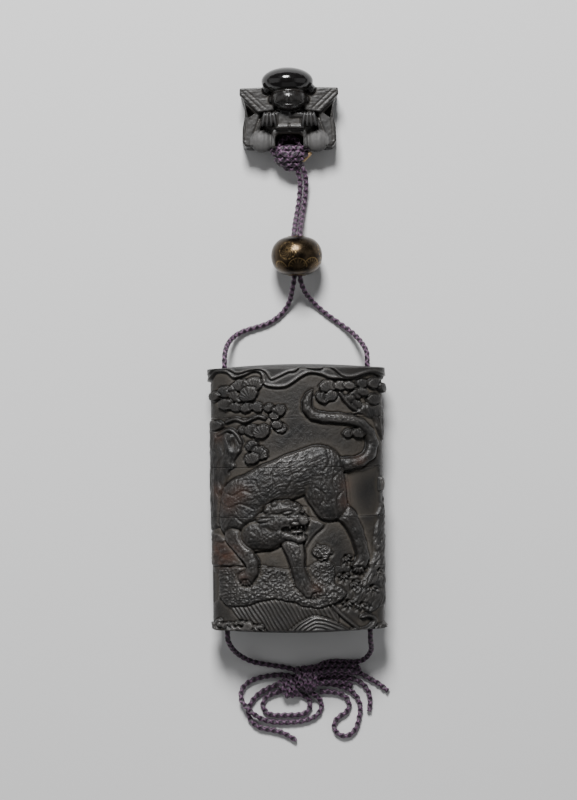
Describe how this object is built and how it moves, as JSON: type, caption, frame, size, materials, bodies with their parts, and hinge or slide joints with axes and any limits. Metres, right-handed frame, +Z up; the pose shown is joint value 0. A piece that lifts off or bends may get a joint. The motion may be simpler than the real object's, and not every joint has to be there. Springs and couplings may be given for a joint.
{
  "type": "inro case with cord, ojime bead and netsuke toggle",
  "caption": "Stacked carved wooden case with a tiger relief, strung on a silk cord with a sliding bead, a toggle figure and a loose bow.",
  "frame": {"origin": "middle of the case's back, on the flat disc that the case lies on", "axes": "+Y along the case from its base to the toggle, +Z up, away from the surface it lies on, +X to the right seen from above"},
  "size_m": [0.0605, 0.2305, 0.027],
  "materials": {
    "carved_wood": "black-brown carved wood, satin and polished on the raised edges",
    "toggle_wood": "dark carved wood with a black lacquered head",
    "bead_metal": "dark patinated metal with fine gilt lines",
    "silk_cord": "braided silk, dark purple",
    "gilt_thread": "bound gilt thread"
  },
  "bodies": {
    "root": {"base_tray": "carved_wood", "lower_tray": "carved_wood", "middle_tray": "carved_wood", "upper_tray": "carved_wood", "lid": "carved_wood", "cord_left": "silk_cord", "cord_right": "silk_cord", "bow_loop_left": "silk_cord", "bow_tail_left": "silk_cord", "bow_loop_inner": "silk_cord", "bow_loop_right": "silk_cord", "bow_tail_right": "silk_cord", "bow_tail_short": "silk_cord", "toggle_loop": "silk_cord", "toggle_knot": "silk_cord", "bow_knot": "silk_cord", "bow_wrap": "silk_cord", "ojime_bead": "bead_metal", "netsuke_figure": "toggle_wood", "gilt_tip": "gilt_thread"}
  },
  "joints": []
}
